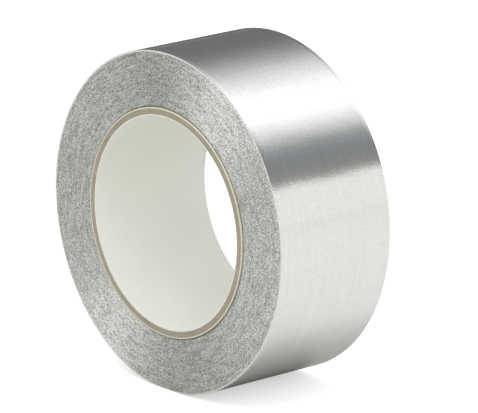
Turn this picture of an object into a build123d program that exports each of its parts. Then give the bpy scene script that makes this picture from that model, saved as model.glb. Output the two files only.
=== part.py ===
from build123d import *

import os
from math import acos, asin, cos, degrees, hypot, pi, radians, sin, tan

# Foil duct tape roll: a spiral-wound paper core, the wound tape on it, its outer turn and free end.
# The roll stands on its tread.  X is across the roll, Y along its axis and Z up, all in millimetres,
# with the origin under the middle of the roll on the surface it stands on.
os.makedirs("parts", exist_ok=True)

# ---- Sizes ----------------------------------------------------------------------------------------
# Core: a white lining ply, plies of plain kraft board and a paler outer ply, all wound on a mandrel.
bore_diameter = 76.2
lining_thickness = 0.4
board_thickness = 0.5
board_plies = 4
cover_thickness = 0.6
core_proud = 0.5            # how far each end of the core stands out of the tape's side face

# Seams: each board ply is one ribbon wound at a slant, with a narrow gap where its edges meet.
ribbon_width = 110.0
seam_gap = 0.6
seam_stagger = 97.0         # degrees from one ply's seam to the next ply's

# Tape: foil with its adhesive, and the release liner under it.
tape_width = 50.0
roll_diameter = 122.0
foil_thickness = 0.08
liner_thickness = 0.06
flat_depth = 0.5            # how far the tread is pressed flat where the roll stands

# Winding: angles are measured about the axis from +X towards +Z.
step_angle = 190.0          # where the outer turn starts, at the step in the wound tape
end_allowance = 9.0         # from the free end to that step, along the tread
tail_length = 20.0          # the free end that lifts
tail_clearance = 0.05       # under the free end, and past its tip
tail_parting = 0.03         # between the free end's foil and its liner
root_gap = 0.15             # between the outer turn and the free end, along the tread

# ---- What follows from them -----------------------------------------------------------------------
turn_thickness = foil_thickness + liner_thickness
wound_radius = roll_diameter / 2 - turn_thickness       # where the outer turn starts
axis_height = wound_radius + turn_thickness - flat_depth
lining_radius = bore_diameter / 2 + lining_thickness
board_radius = lining_radius + board_plies * board_thickness
core_radius = board_radius + cover_thickness
core_length = tape_width + 2 * core_proud
core_axis = Axis((0, 0, axis_height), (0, 1, 0))

# A roll's outline is two half turns.  The second has its centre moved half a turn's thickness
# towards the step, so that it leaves the first smoothly and ends one thickness further out.
axis_point = (0, axis_height)
moved_point = (
    turn_thickness / 2 * cos(radians(step_angle)),
    axis_height + turn_thickness / 2 * sin(radians(step_angle)),
)
along_one_degree = pi / 180 * (wound_radius + turn_thickness)
root_angle = step_angle + 360 - (end_allowance + tail_length) / along_one_degree
tail_start = root_angle + root_gap / along_one_degree
tail_end = root_angle + tail_length / along_one_degree
print_end = tail_end + 10 * tail_clearance / along_one_degree


def half_turn(height, angle):
    """Centre and radius of the half turn that holds an angle, for a line this high in the turn."""
    if angle < step_angle + 180:
        return axis_point, wound_radius + height
    return moved_point, wound_radius + turn_thickness / 2 + height


def on_turn(height, angle):
    (x, z), radius = half_turn(height, angle)
    return (x + radius * cos(radians(angle)), z + radius * sin(radians(angle)))


def turn_line(height, start, end):
    """Adds a line along the turn to the open sketch: arcs, and a chord where the tread is flat."""
    _, radius = half_turn(height, start)
    press = degrees(acos(1 - flat_depth / radius))
    bottom, change = 270, step_angle + 180
    if start < bottom < end:
        CenterArc(axis_point, radius, start, bottom - press - start)
        Line(on_turn(height, bottom - press), on_turn(height, bottom + press))
        CenterArc(axis_point, radius, bottom + press, change - bottom - press)
        start = change
    centre, radius = half_turn(height, start)
    CenterArc(centre, radius, start, end - start)


def strip(low, high, start, end):
    """A strip of tape between two heights in the turn and two angles, as wide as the tape."""
    with BuildPart() as made:
        with BuildSketch(Plane.XZ):
            with BuildLine():
                turn_line(low, start, end)
                turn_line(high, start, end)
                Line(on_turn(low, start), on_turn(high, start))
                Line(on_turn(low, end), on_turn(high, end))
            make_face()
        extrude(amount=tape_width / 2, both=True)
    return made


def ring(inner, outer, length):
    """A plain ring about the roll's axis."""
    with BuildPart() as made:
        with BuildSketch(Plane.XZ):
            with Locations(axis_point):
                Circle(outer)
                Circle(inner, mode=Mode.SUBTRACT)
        extrude(amount=length / 2, both=True)
    return made


# ---- Core -----------------------------------------------------------------------------------------
core_inner_ply = ring(bore_diameter / 2, lining_radius, core_length)
core_inner_ply.part.label = "core_inner_ply"
export_step(core_inner_ply.part, "parts/core_inner_ply.step")

for ply in range(board_plies):
    inner = lining_radius + ply * board_thickness
    middle = inner + board_thickness / 2
    # A ribbon that meets its own edge after one turn fixes the slant, and so the seam's lead.
    slant = asin(ribbon_width / (2 * pi * middle))
    lead = 2 * pi * middle * tan(slant)
    seam_length = core_length + 4 * seam_gap
    with BuildLine() as seam:
        Helix(pitch=lead, height=seam_length, radius=middle,
              center=(0, -seam_length / 2, axis_height), direction=(0, 1, 0))
    path = seam.line.rotate(core_axis, ply * seam_stagger)
    outwards = path @ 0 - Vector(0, (path @ 0).Y, axis_height)
    with BuildPart() as board:
        with BuildSketch(Plane.XZ):
            with Locations(axis_point):
                Circle(inner + board_thickness)
                Circle(inner, mode=Mode.SUBTRACT)
        extrude(amount=core_length / 2, both=True)
        with BuildSketch(Plane(origin=path @ 0, x_dir=outwards, z_dir=path % 0)):
            Rectangle(2 * board_thickness, seam_gap)
        sweep(path=path, is_frenet=True, mode=Mode.SUBTRACT)
    board.part.label = f"core_board_ply_{ply + 1}"
    export_step(board.part, f"parts/core_board_ply_{ply + 1}.step")

core_outer_ply = ring(board_radius, core_radius, core_length)
core_outer_ply.part.label = "core_outer_ply"
export_step(core_outer_ply.part, "parts/core_outer_ply.step")

# ---- Wound tape -----------------------------------------------------------------------------------
# All the turns but the outer one, ending at the step where the outer turn starts.  The tape gives
# a little under the free end, which leaves a shallow print there, just longer than the free end.
with BuildPart() as wound_tape:
    with BuildSketch(Plane.XZ):
        with BuildLine():
            turn_line(0, step_angle, root_angle)
            Line(on_turn(0, root_angle), on_turn(-tail_clearance, root_angle))
            turn_line(-tail_clearance, root_angle, print_end)
            Line(on_turn(-tail_clearance, print_end), on_turn(0, print_end))
            turn_line(0, print_end, step_angle + 360)
            Line(on_turn(0, step_angle + 360), on_turn(0, step_angle))
        make_face()
        with Locations(axis_point):
            Circle(core_radius, mode=Mode.SUBTRACT)
    extrude(amount=tape_width / 2, both=True)
wound_tape.part.label = "wound_tape"
export_step(wound_tape.part, "parts/wound_tape.step")

# ---- Outer turn -----------------------------------------------------------------------------------
outer_turn_liner = strip(0, liner_thickness, step_angle, root_angle)
outer_turn_liner.part.label = "outer_turn_liner"
export_step(outer_turn_liner.part, "parts/outer_turn_liner.step")

outer_turn_foil = strip(liner_thickness, turn_thickness, step_angle, root_angle)
outer_turn_foil.part.label = "outer_turn_foil"
export_step(outer_turn_foil.part, "parts/outer_turn_foil.step")

# ---- Free end -------------------------------------------------------------------------------------
tail_liner = strip(0, liner_thickness, tail_start, tail_end)
tail_liner.part.label = "tail_liner"
export_step(tail_liner.part, "parts/tail_liner.step")

foil_bottom = liner_thickness + tail_parting
tail_foil = strip(foil_bottom, foil_bottom + foil_thickness, tail_start, tail_end)
tail_foil.part.label = "tail_foil"
export_step(tail_foil.part, "parts/tail_foil.step")

# ---- Measures -------------------------------------------------------------------------------------
# The outer turn's least gap to itself, over its outline's points a quarter turn or more apart.
outline = [(a, on_turn(h, a)) for h in (0, turn_thickness)
           for a in [step_angle + k * (root_angle - step_angle) / 360 for k in range(361)]]
least_gap = min(hypot(p[0] - q[0], p[1] - q[1])
                for a, p in outline for b, q in outline if b - a > 90)
turns = (wound_radius + turn_thickness - core_radius) / turn_thickness
length = pi * ((roll_diameter / 2) ** 2 - core_radius ** 2) / turn_thickness / 1000
print(f"least gap of the outer turn to itself {least_gap:.2f} mm")
print(f"{turns:.0f} turns, {length:.1f} m of tape")
for name, height in (("tail_lift", turn_thickness), ("liner_peel", liner_thickness)):
    x, z = on_turn(height, root_angle)
    print(f"{name} axis at x {x:.4f}, z {z:.4f}")
print(f"axis height {axis_height:.3f}, root {root_angle - 360:.3f}, end {tail_end - 360:.3f} degrees")
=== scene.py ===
import random
from math import acos, cos, pi, radians, sin

import bmesh
import bpy
from mathutils import Matrix, Vector


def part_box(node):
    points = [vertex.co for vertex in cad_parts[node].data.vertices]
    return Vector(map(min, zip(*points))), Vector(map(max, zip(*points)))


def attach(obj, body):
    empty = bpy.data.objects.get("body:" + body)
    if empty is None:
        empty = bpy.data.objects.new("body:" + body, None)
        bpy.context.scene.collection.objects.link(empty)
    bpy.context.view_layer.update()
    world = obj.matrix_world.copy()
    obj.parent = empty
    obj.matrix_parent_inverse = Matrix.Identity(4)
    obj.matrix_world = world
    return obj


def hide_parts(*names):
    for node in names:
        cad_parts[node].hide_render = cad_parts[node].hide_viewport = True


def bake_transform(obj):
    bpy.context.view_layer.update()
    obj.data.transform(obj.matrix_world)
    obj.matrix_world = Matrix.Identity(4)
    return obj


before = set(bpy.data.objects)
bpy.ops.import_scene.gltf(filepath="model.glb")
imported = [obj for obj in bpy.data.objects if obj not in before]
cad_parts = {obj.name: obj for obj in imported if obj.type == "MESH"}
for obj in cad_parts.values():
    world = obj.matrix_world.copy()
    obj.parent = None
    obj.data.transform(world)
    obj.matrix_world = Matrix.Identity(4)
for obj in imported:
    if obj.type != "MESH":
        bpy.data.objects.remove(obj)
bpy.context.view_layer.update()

# ---- Camera -------------------------------------------------------------------------------------
# A long lens well back from the roll, a little above its axis, so that a side face and the tread
# both show.  The roll stands slightly left of the middle of the view.
bore_low, bore_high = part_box("core_inner_ply")
roll_middle = (bore_low + bore_high) / 2
camera_azimuth, camera_elevation, camera_distance = radians(49.1), radians(15.6), 1.755
towards_camera = Vector((sin(camera_azimuth) * cos(camera_elevation),
                         -cos(camera_azimuth) * cos(camera_elevation), sin(camera_elevation)))
camera_right = Vector((cos(camera_azimuth), sin(camera_azimuth), 0))
camera_up = towards_camera.cross(camera_right)
camera = bpy.data.objects.new("camera", bpy.data.cameras.new("camera"))
camera.data.sensor_width, camera.data.lens = 36, 376.6
camera.data.clip_start, camera.data.clip_end = 0.1, 60
right_of_middle, above_middle = 0.0066, 0.0014
spot = (roll_middle + towards_camera * camera_distance + camera_right * right_of_middle
        + camera_up * above_middle)
turned = Matrix((camera_right, camera_up, towards_camera)).transposed().to_4x4()
camera.matrix_world = Matrix.Translation(spot) @ turned
bpy.context.scene.collection.objects.link(camera)
bpy.context.scene.camera = camera
bpy.context.scene.view_settings.view_transform = "Standard"


# ---- Studio -------------------------------------------------------------------------------------
# A white room with an even light.  Long softboxes hang over the roll, in line with its axis, with
# dark cloth between them, and only what is polished shows them.
class Value:
    """A number or vector in a node tree.  Sums and products of values add their own Math nodes."""

    def __init__(self, tree, socket):
        self.tree, self.socket = tree, socket

    def node(self, kind, sockets=(), out=0, **settings):
        made = self.tree.nodes.new(kind)
        for name, setting in settings.items():
            if name == "stops":
                while len(made.color_ramp.elements) > 1:
                    made.color_ramp.elements.remove(made.color_ramp.elements[0])
                for count, (place, colour) in enumerate(setting):
                    stop = (made.color_ramp.elements[0] if count == 0
                            else made.color_ramp.elements.new(place))
                    stop.position = place
                    stop.color = (*colour, 1) if isinstance(colour, tuple) else (colour,) * 3 + (1,)
            else:
                setattr(made, name, setting)
        for name, given in dict(sockets).items():
            if isinstance(given, Value):
                self.tree.links.new(given.socket, made.inputs[name])
            else:
                made.inputs[name].default_value = given
        return Value(self.tree, made.outputs[out])

    def maths(self, operation, *terms):
        return self.node("ShaderNodeMath", dict(enumerate(terms)), operation=operation)

    def __add__(self, other): return self.maths("ADD", self, other)
    def __radd__(self, other): return self.maths("ADD", other, self)
    def __sub__(self, other): return self.maths("SUBTRACT", self, other)
    def __rsub__(self, other): return self.maths("SUBTRACT", other, self)
    def __mul__(self, other): return self.maths("MULTIPLY", self, other)
    def __rmul__(self, other): return self.maths("MULTIPLY", other, self)
    def __truediv__(self, other): return self.maths("DIVIDE", self, other)
    def __rtruediv__(self, other): return self.maths("DIVIDE", other, self)
    def __pow__(self, other): return self.maths("POWER", self, other)
    def __rpow__(self, other): return self.maths("POWER", other, self)

    def clamp(self):
        return self.node("ShaderNodeClamp", {"Value": self, "Min": 0.0, "Max": 1.0})

    def outlet(self, name):
        """Another output of the node that this value comes from, by its name or number."""
        return Value(self.tree, self.socket.node.outputs[name])

    def blend(self, first, second):
        """The first colour where this value is 0, the second where it is 1."""
        first, second = ((*c, 1) if isinstance(c, tuple) else c for c in (first, second))
        return self.node("ShaderNodeMix", {0: self, 6: first, 7: second}, out=2, data_type="RGBA")


world = bpy.data.worlds.new("white room")
bpy.context.scene.world = world
world.use_nodes = True
world.node_tree.nodes.clear()
room = Value(world.node_tree, None)
direction = room.node("ShaderNodeTexCoord")
across = room.node("ShaderNodeSeparateXYZ", {"Vector": direction})
# the angle round the roll's axis, from +X over the top to -X, as a place on the ramp
round_axis = room.maths("ARCTAN2", across.outlet("Z"), across) / (2 * pi) + 0.5


def at(angle):
    """The ramp's place for an angle in degrees."""
    return angle / 360 + 0.5


softboxes = [
    (0.0, (0.6, 0.6, 0.6)), (at(-20), (0.84, 0.85, 0.81)), (at(24), (0.86, 0.87, 0.82)),
    (at(27), (0.36, 0.36, 0.35)), (at(31), (0.265, 0.27, 0.26)), (at(42), (0.23, 0.24, 0.25)),
    (at(51), (0.32, 0.33, 0.34)), (at(57), (0.58, 0.59, 0.59)), (at(63), (0.84, 0.84, 0.84)),
    (at(70), (1.08, 1.08, 1.08)), (at(80), (1.3, 1.3, 1.3)), (at(90), (1.15, 1.15, 1.15)),
    (at(100), (0.95, 0.95, 0.95)), (at(110), (0.74, 0.74, 0.74)), (at(120), (0.5, 0.5, 0.5)),
    (at(130), (0.31, 0.31, 0.31)), (at(140), (0.21, 0.21, 0.21)), (at(152), (0.17, 0.17, 0.172)),
    (at(180), (0.165, 0.165, 0.167)),
]
seen = room.node("ShaderNodeValToRGB", {"Fac": round_axis}, stops=softboxes)
camera_ray = room.node("ShaderNodeLightPath")
even_light = (0.92, 0.92, 0.92)
lit_by = camera_ray.outlet("Is Glossy Ray").blend(even_light, seen)
colour = camera_ray.blend(lit_by, (1, 1, 1))
surface = room.node("ShaderNodeBackground", {"Color": colour, "Strength": 1.0})
out = world.node_tree.nodes.new("ShaderNodeOutputWorld")
world.node_tree.links.new(surface.socket, out.inputs["Surface"])

# One large soft lamp above and in front gives the shapes a little direction.
lamp = bpy.data.objects.new("overhead softbox", bpy.data.lights.new("overhead softbox", "AREA"))
lamp.data.shape, lamp.data.size, lamp.data.energy = "DISK", 1.6, 14
lamp.location = (0.5, -1.0, 2.2)
lamp.rotation_euler = (roll_middle - lamp.location).to_track_quat("-Z", "Y").to_euler()
lamp.visible_glossy = False
bpy.context.scene.collection.objects.link(lamp)

# The floor is matt white, and brighter to the eye than to the roll, so that it runs into the room.
# It gives the roll less light from under it, and from far off on the left behind it, through a
# painted shadow and painted shade in its colour.
reach, depth = 9, -5e-5
floor_mesh = bpy.data.meshes.new("floor")
floor_mesh.from_pydata([(-reach, -reach, depth), (reach, -reach, depth), (reach, reach, depth),
                        (-reach, reach, depth)], [], [(0, 1, 2, 3)])
floor = bpy.data.objects.new("floor", floor_mesh)
bpy.context.scene.collection.objects.link(floor)
paint = bpy.data.materials.new("floor white")
paint.use_nodes = True
paint.node_tree.nodes.clear()
white = Value(paint.node_tree, None)
camera_ray = white.node("ShaderNodeLightPath")
across = white.node("ShaderNodeSeparateXYZ", {"Vector": white.node("ShaderNodeTexCoord", out=3)})
behind = across.outlet("Y")
# painted shadow: to the roll the floor's colour is darker under the roll and darker still far off
# on the left behind it; it is brighter towards the far right
clear = ((white.maths("ABSOLUTE", across) - 0.026) / 0.034).clamp()
painted_shade_far_left = ((-0.05 - across) / 0.15).clamp() * (behind / 0.05).clamp()
far_right = ((across - 0.4) / 1.2).clamp()
open_floor = far_right.blend((0.775, 0.778, 0.752), (0.835, 0.838, 0.81))
floor_colour_with_painted_shade = painted_shade_far_left.blend(clear.blend((0.55, 0.55, 0.533), open_floor), (0.14, 0.14, 0.14))
matt = white.node("ShaderNodeBsdfPrincipled",
                  {"Base Color": camera_ray.blend(floor_colour_with_painted_shade, (0.8, 0.8, 0.79)), "Roughness": 1.0,
                   "Specular IOR Level": 0.0, "Emission Strength": 0.52,
                   "Emission Color": camera_ray.blend((0.0, 0.0, 0.0), (1.0, 1.0, 1.0))})
out = paint.node_tree.nodes.new("ShaderNodeOutputMaterial")
paint.node_tree.links.new(matt.socket, out.inputs["Surface"])
floor_mesh.materials.append(paint)


# ---- Core lining --------------------------------------------------------------------------------
# The white ply inside the bore is one smooth paper ribbon, wound at a slant and glued edge to edge.
# Its seam shows as a faint line, and its cut ends are a little furry.
def material_for(name):
    """An empty material, its Principled shader and a value to build on."""
    made = bpy.data.materials.new(name)
    made.use_nodes = True
    made.node_tree.nodes.clear()
    start = Value(made.node_tree, None)
    shader = made.node_tree.nodes.new("ShaderNodeBsdfPrincipled")
    end = made.node_tree.nodes.new("ShaderNodeOutputMaterial")
    made.node_tree.links.new(shader.outputs[0], end.inputs["Surface"])
    return made, shader, start


def feed(shader, **inputs):
    for name, given in inputs.items():
        socket = shader.inputs[name.replace("_", " ")]
        if isinstance(given, Value):
            given.tree.links.new(given.socket, socket)
        else:
            socket.default_value = (*given, 1) if isinstance(given, tuple) else given


def about_axis(start):
    """The distance from the axis, the direction from it (two values) and the place along it.

    Distances are in millimetres.
    """
    place = start.node("ShaderNodeTexCoord", out=3)
    x = start.node("ShaderNodeSeparateXYZ", {"Vector": place})
    z = x.outlet("Z") - roll_middle.z
    radius = start.maths("SQRT", x * x + z * z)
    return radius * 1000, x / radius, z / radius, x.outlet("Y") * 1000


def noise_at(start, x, y, z, scale=1.0, detail=2.0, roughness=0.5):
    """Noise over three values, which may be stretched, with so many features for each unit."""
    place = start.node("ShaderNodeCombineXYZ", {0: x, 1: y, 2: z})
    return start.node("ShaderNodeTexNoise", {"Vector": place, "Scale": scale, "Detail": detail,
                                             "Roughness": roughness})


def piece_from(name, points, faces):
    """A piece of the object from its points and faces, with its faces turned outwards."""
    mesh = bpy.data.meshes.new(name)
    mesh.from_pydata(points, [], faces)
    skin = bmesh.new()
    skin.from_mesh(mesh)
    bmesh.ops.recalc_face_normals(skin, faces=skin.faces)
    skin.to_mesh(mesh)
    skin.free()
    made = bpy.data.objects.new(name, mesh)
    bpy.context.scene.collection.objects.link(made)
    return made


def turned_piece(name, profile, steps=360, wander=None):
    """Turns a closed profile of (radius, width) points in millimetres round the roll's axis."""
    points, faces, count = [], [], len(profile)
    for step in range(steps):
        angle = 2 * pi * step / steps
        for radius, width in profile:
            if wander:
                radius, width = wander(angle, radius, width)
            points.append((radius * cos(angle) / 1000, width / 1000,
                           roll_middle.z + radius * sin(angle) / 1000))
    for step in range(steps):
        here, after = step * count, (step + 1) % steps * count
        for k in range(count):
            j = (k + 1) % count
            faces.append((here + k, here + j, after + j, after + k))
    made = piece_from(name, points, faces)
    for face in made.data.polygons:
        face.use_smooth = True
    return made


def tube_profile(inner, outer, half, edge, rows=8):
    """A ring's section with small rounded edges and rows along its walls."""
    corner = [(edge * (1 - cos(radians(t))), edge * (1 - sin(radians(t)))) for t in (0, 30, 60, 90)]
    front = ([(inner + a, -half + b) for a, b in corner]
             + [(outer - a, -half + b) for a, b in reversed(corner)])
    back = [(r, -w) for r, w in reversed(front)]
    straight = 2 * half - 2 * edge
    wall = [(outer, -half + edge + straight * k / rows) for k in range(1, rows)]
    bore = [(inner, half - edge - straight * k / rows) for k in range(1, rows)]
    return front + wall + back + bore


def rough_ends(seed, height, lumps):
    """Moves a cut end in and out a little as it goes round, as sawn board does."""
    chance = random.Random(seed)
    waves = [(chance.randint(3, lumps), chance.uniform(0, 2 * pi), chance.uniform(0.3, 1))
             for _ in range(14)]
    near_end = 20

    def wander(angle, radius, width):
        lift = sum(s * sin(n * angle + p) for n, p, s in waves) / len(waves)
        outwards = (1 if width > 0 else -1) * (abs(width) > near_end)
        return radius, width + height * lift * outwards
    return wander


lining_outer = bore_high.x * 1000
lining_inner = lining_outer - 0.4
seam_lead = 122.0
core_half = bore_high.y * 1000
lining = turned_piece("core_lining",
                      tube_profile(lining_inner, lining_outer, core_half - 0.03, 0.08),
                      wander=rough_ends(3, 0.05, 60))
lining_paper, shader, start = material_for("white lining paper")
radius, across, up, width = about_axis(start)
angle = start.maths("ARCTAN2", up, across)
fibres = noise_at(start, across * 38, up * 38, width, scale=0.9, detail=5, roughness=0.65)
clouds = noise_at(start, across * 38, up * 38, width, scale=0.06, detail=2)
seam_turn = start.maths("FRACT", angle / (2 * pi) - width / seam_lead + 0.33)
seam = (1 - start.maths("ABSOLUTE", seam_turn - 0.5) * 400).clamp()
# painted shade: the lining's colour is darker towards the bottom of the bore
painted_shade_below = (0 - up).clamp()
tone = (0.86 + fibres * 0.06 + clouds * 0.05 - seam * 0.10).clamp() * (1 - painted_shade_below * 0.12)
feed(shader, Base_Color=tone.blend((0.0, 0.0, 0.0), (0.96, 0.955, 0.895)), Roughness=0.72,
     Normal=start.node("ShaderNodeBump", {"Height": fibres * 0.5 - seam, "Strength": 0.25,
                                          "Distance": 0.0001}))
lining.data.materials.append(lining_paper)
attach(lining, "roll")
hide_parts("core_inner_ply")

# ---- Core board plies ---------------------------------------------------------------------------
# Four ribbons of brown board, glued one on the other with their seams apart.  Only their cut ends
# show: tan, a little open, with a thin glue line between one ply and the next.
board_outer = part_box("core_board_ply_4")[1].x * 1000
ply_thickness = (board_outer - lining_outer) / 4
kraft_board, shader, start = material_for("brown core board")
radius, across, up, width = about_axis(start)
pulp = noise_at(start, across * 40, up * 40, width * 0.4, scale=1.6, detail=6, roughness=0.7)
patches = noise_at(start, across * 40, up * 40, width * 0.2, scale=0.12, detail=3)
line = start.maths("FRACT", (radius - lining_outer) / ply_thickness)
glue = (1 - start.maths("ABSOLUTE", line - 0.5) * 2) * 8
tone = (pulp * 0.5 + patches * 0.5).clamp()
body = tone.blend((0.25, 0.22, 0.16), (0.54, 0.495, 0.375))
feed(shader, Base_Color=glue.clamp().blend((0.26, 0.23, 0.18), body), Roughness=0.88,
     Normal=start.node("ShaderNodeBump", {"Height": pulp, "Strength": 0.5, "Distance": 0.00012}))
glue_gap = 0.005
for ply in range(4):
    inner = lining_outer + ply * ply_thickness
    board = turned_piece(f"core_board_ply_{ply + 1}",
                         tube_profile(inner + glue_gap, inner + ply_thickness - glue_gap,
                                      core_half - 0.02 * (ply % 2), 0.06, rows=2),
                         wander=rough_ends(10 + ply, 0.06, 80))
    board.data.materials.append(kraft_board)
    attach(board, "roll")
    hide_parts(f"core_board_ply_{ply + 1}")

# ---- Core outer ply -----------------------------------------------------------------------------
# The last ribbon of the core is a paler, smoother board.  The first turn of tape grips it.
cover_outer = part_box("core_outer_ply")[1].x * 1000
cover = turned_piece("core_outer_cover",
                     tube_profile(board_outer + glue_gap, cover_outer - 0.12, core_half - 0.01,
                                  0.1),
                     wander=rough_ends(21, 0.05, 70))
cover_board, shader, start = material_for("pale core board")
radius, across, up, width = about_axis(start)
pulp = noise_at(start, across * 41, up * 41, width * 0.4, scale=1.4, detail=5, roughness=0.65)
feed(shader, Base_Color=pulp.blend((0.58, 0.54, 0.42), (0.93, 0.89, 0.74)), Roughness=0.82,
     Normal=start.node("ShaderNodeBump", {"Height": pulp, "Strength": 0.4, "Distance": 0.0001}))
cover.data.materials.append(cover_board)
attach(cover, "roll")
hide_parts("core_outer_ply")

# ---- Wound tape ---------------------------------------------------------------------------------
# Some 141 turns of foil, adhesive and liner, slit to one width.  Each turn's edge stands a hair in
# or out of its neighbours, so the side face glints in fine broken rings.
tape_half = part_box("wound_tape")[1].y * 1000
outer_radius, turn_thickness = 61, 0.14
wound_radius = outer_radius - turn_thickness
step_angle, root_angle, tail_angle = radians(190.0), radians(162.761), radians(181.547)
flat_depth = 0.5
# how far each turn stands in or out: its own chance, and a slow drift of the winding
chance = random.Random(5)
turn_count = int((wound_radius - cover_outer) / turn_thickness)
steps_out = [chance.uniform(-1, 1) for _ in range(turn_count + 1)]
drift = 0
for k in range(turn_count + 1):
    drift = 0.85 * drift + 0.5 * steps_out[k]
    steps_out[k] = 0.012 * steps_out[k] + 0.008 * drift


def outline(angle, height):
    """Distance from the axis to a line this high in the outer turn, pressed flat underneath."""
    angle = angle % (2 * pi)
    since = (angle - step_angle) % (2 * pi)
    radius = wound_radius + height
    if since > pi:
        radius += turn_thickness / 2 * (1 + cos(angle - step_angle))
    low = 1.5 * pi
    if abs(angle - low) < acos(1 - flat_depth / radius):
        radius = (radius - flat_depth) / cos(angle - low)
    return radius


def wound_turns():
    """Both side faces in steps, turn by turn, with the tread under the outer turn and the bore."""
    steps, points, faces = 240, [], []
    eased = 3                       # how much of the outside takes the winding's outline
    foil_from, foil_to = 0.02, 0.10     # where a turn's foil edge starts and ends in the turn
    radii = [cover_outer - 0.1]
    for k in range(turn_count):
        base = cover_outer + k * turn_thickness
        radii += [base + foil_from, base + foil_to]
    radii.append(wound_radius)
    rows = len(radii)
    for side in (-1, 1):
        for step in range(steps):
            angle = 2 * pi * step / steps
            for k, radius in enumerate(radii):
                turn = min(max(int((radius - cover_outer) / turn_thickness), 0), turn_count)
                place = radius
                if radius > wound_radius - eased:
                    share = (radius - wound_radius + eased) / eased
                    place = radius + (outline(angle, 0) - wound_radius) * share
                points.append((place * cos(angle) / 1000,
                               side * (tape_half - 0.02 + steps_out[turn]) / 1000,
                               roll_middle.z + place * sin(angle) / 1000))
        first = 0 if side < 0 else steps * rows
        for step in range(steps):
            here, after = first + step * rows, first + (step + 1) % steps * rows
            for k in range(rows - 1):
                ring = (here + k, here + k + 1, after + k + 1, after + k)
                faces.append(ring if side < 0 else tuple(reversed(ring)))
    for row in (rows - 1, 0):
        for step in range(steps):
            after = (step + 1) % steps
            front, back = step * rows + row, steps * rows + step * rows + row
            next_front, next_back = after * rows + row, steps * rows + after * rows + row
            ring = (front, back, next_back, next_front)
            faces.append(ring if row else tuple(reversed(ring)))
    return piece_from("wound_tape_turns", points, faces)


turns = wound_turns()
turn_edges, shader, start = material_for("slit tape edges")
painted_shine_angle, rim_highlight_start, gap_shadow_end = radians(58), 60.25, cover_outer + 0.55
radius, across, up, width = about_axis(start)
rings = noise_at(start, across * 6, up * 6, radius * 3.0, scale=1.0, detail=2, roughness=0.6)
glints = noise_at(start, across * 48, up * 48, radius * 1.5, scale=1.7, detail=2, roughness=0.7)
flecks = noise_at(start, across * 60, up * 60, radius * 1.4 + 40, scale=2.9, detail=1)
smear = noise_at(start, across * 10, up * 10, radius * 0.8, scale=1.0, detail=2)
grain = rings * 0.14 + glints * 0.46 + flecks * 0.28 + smear * 0.12
contrast = ((grain - 0.5) * 8.5 + 0.5).clamp()
# painted highlight: the shine that ring after ring of fine edges gives along one line through the
# middle, as a turned disc does, is painted into the colour at a fixed angle
painted_line_of_shine = start.maths("ABSOLUTE", across * cos(painted_shine_angle) + up * sin(painted_shine_angle)) ** 12
# painted shade: the side face is darker towards its top
painted_top_shade = up.clamp() ** 10
# painted light: the side face is brighter towards its lower right
painted_light_lower_right = (across * 0.94 - up * 0.34).clamp() ** 3
# the colour's level carries the painted highlight, the painted shade at the top and the painted
# light at the lower right
painted_light_level = 1.03 + painted_line_of_shine * 0.62 - painted_top_shade * 0.20 + painted_light_lower_right * 0.22
darker = contrast.blend((0.22, 0.224, 0.212), (0.70, 0.71, 0.68))
colour_with_painted_shine = start.node("ShaderNodeMix", {0: 1.0, 6: darker, 7: painted_light_level}, out=2, data_type="RGBA",
                   blend_type="MULTIPLY")
# painted highlight: a near-white band along the side face's outer rim
painted_rim_highlight = ((radius - rim_highlight_start) * 3).clamp() * (0.55 + glints * 0.6).clamp()
# painted shadow: a dark ring on the side face next to the core
painted_gap_shadow = ((gap_shadow_end - radius) * 3).clamp() * (1.1 - glints * 0.7).clamp()
# the side face's colour with its painted rim highlight and painted shadow by the core
with_painted_rim_and_shadow = painted_gap_shadow.blend(painted_rim_highlight.blend(colour_with_painted_shine, (0.93, 0.93, 0.91)), (0.10, 0.09, 0.075))
height = rings * 0.3 + glints * 0.9 + flecks * 0.5
# between the free end's tip and the step, the turn below shows its foil
on_tread = ((tape_half - 0.15 - start.maths("ABSOLUTE", width)) * 20).clamp()
feed(shader, Base_Color=on_tread.blend(with_painted_rim_and_shadow, (0.9, 0.905, 0.895)), Metallic=0.5 + on_tread * 0.5,
     Roughness=0.42 - on_tread * 0.30,
     Normal=start.node("ShaderNodeBump", {"Height": height * (1 - on_tread), "Strength": 0.55,
                                          "Distance": 0.0003}))
turns.data.materials.append(turn_edges)
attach(turns, "roll")
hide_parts("wound_tape")

# ---- Outer turn ---------------------------------------------------------------------------------
# Bright soft aluminium foil with its adhesive and liner beneath.  It was rolled thin between steel
# rolls, which leaves fine lines along the tape, and being wound has left it slightly crinkled.
liner_thickness = 0.06


def wound_strip(name, low, high, start, end, steps, edge):
    """A strip of tape between two heights in the outer turn and two angles, with rounded edges."""
    set_back = 0.005
    half = tape_half - set_back
    section = [(high - edge * (1 - sin(radians(t))), -half + edge * (1 - cos(radians(t))))
               for t in (0, 30, 60, 90)]
    rows = 24
    crown = [(high, -half + edge + (2 * half - 2 * edge) * k / rows) for k in range(1, rows)]
    section = ([(low, -half)] + section + crown + [(h, -w) for h, w in reversed(section)]
               + [(low, half)])
    count, points, faces = len(section), [], []
    # a very short first and last row keep the strip's cut ends out of its smooth shading
    short = 3e-4
    inside = [start + (end - start) * step / steps for step in range(1, steps)]
    angles = [start, start + short] + inside + [end - short, end]
    for angle in angles:
        for k, (height, width) in enumerate(section):
            reach = outline(angle, height)
            points.append((reach * cos(angle) / 1000, width / 1000,
                           roll_middle.z + reach * sin(angle) / 1000))
    for step in range(len(angles) - 1):
        here, after = step * count, (step + 1) * count
        for k in range(count):
            j = (k + 1) % count
            faces.append((here + j, here + k, after + k, after + j))
    faces.append(tuple(range(count)))
    faces.append(tuple(reversed(range(len(points) - count, len(points)))))
    made = piece_from(name, points, faces)
    for face in made.data.polygons:
        face.use_smooth = len(face.vertices) == 4
    return made


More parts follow.
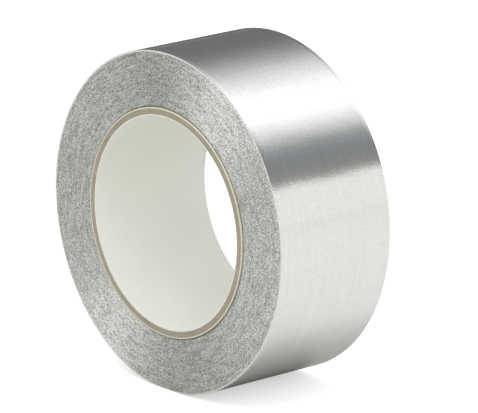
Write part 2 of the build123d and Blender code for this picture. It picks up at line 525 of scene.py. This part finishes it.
bend_from = root_angle - radians(2)      # a little before the root
outer_foil = wound_strip("outer_turn_of_foil", liner_thickness, turn_thickness, step_angle,
                         bend_from + 2 * pi, 720, 0.06)
bright_foil, shader, start = material_for("bright aluminium foil")
radius, across, up, width = about_axis(start)
mill_lines = noise_at(start, across * 1.5, up * 1.5, width * 3.0, scale=1.0, detail=4,
                      roughness=0.6)
grain = noise_at(start, across * 61, up * 61, width, scale=1.5, detail=3, roughness=0.7)
crinkle = noise_at(start, across * 61, up * 61, width, scale=0.10, detail=2, roughness=0.5)
relief = mill_lines * 0.10 + grain * 0.42 + crinkle * 1.3
mottle = ((mill_lines * 0.35 + grain * 0.65 - 0.5) * 3.2 + 0.5).clamp()
feed(shader, Base_Color=mottle.blend((0.81, 0.82, 0.81), (0.99, 0.99, 0.98)), Metallic=1.0,
     Roughness=(0.05 + grain * 0.08).clamp(),
     Normal=start.node("ShaderNodeBump", {"Height": relief, "Strength": 0.5, "Distance": 0.00010}))
outer_foil.data.materials.append(bright_foil)
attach(outer_foil, "roll")
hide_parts("outer_turn_foil")

outer_liner = wound_strip("outer_turn_of_liner", 0.002, liner_thickness - 0.002, step_angle,
                          bend_from + 2 * pi, 360, 0.01)
liner_paper, shader, start = material_for("release liner paper")
radius, across, up, width = about_axis(start)
fibre = noise_at(start, across * 61, up * 61, width, scale=1.2, detail=4, roughness=0.6)
feed(shader, Base_Color=fibre.blend((0.74, 0.74, 0.72), (0.88, 0.88, 0.86)), Roughness=0.5,
     Normal=start.node("ShaderNodeBump", {"Height": fibre, "Strength": 0.2, "Distance": 0.00005}))
outer_liner.data.materials.append(liner_paper)
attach(outer_liner, "roll")
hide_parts("outer_turn_liner")

# ---- Free end -----------------------------------------------------------------------------------
# The last of the tape lies on the turn below, held by its own stiffness.
free_foil = wound_strip("free_end_of_foil", liner_thickness + 0.01, turn_thickness, bend_from,
                        tail_angle, 48, 0.03)
free_foil.data.materials.append(bright_foil)
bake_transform(free_foil)
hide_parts("tail_foil")

free_liner = wound_strip("free_end_of_liner", 0.002, liner_thickness - 0.004, bend_from,
                         tail_angle - radians(0.3), 48, 0.01)
free_liner.data.materials.append(liner_paper)
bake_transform(free_liner)
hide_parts("tail_liner")
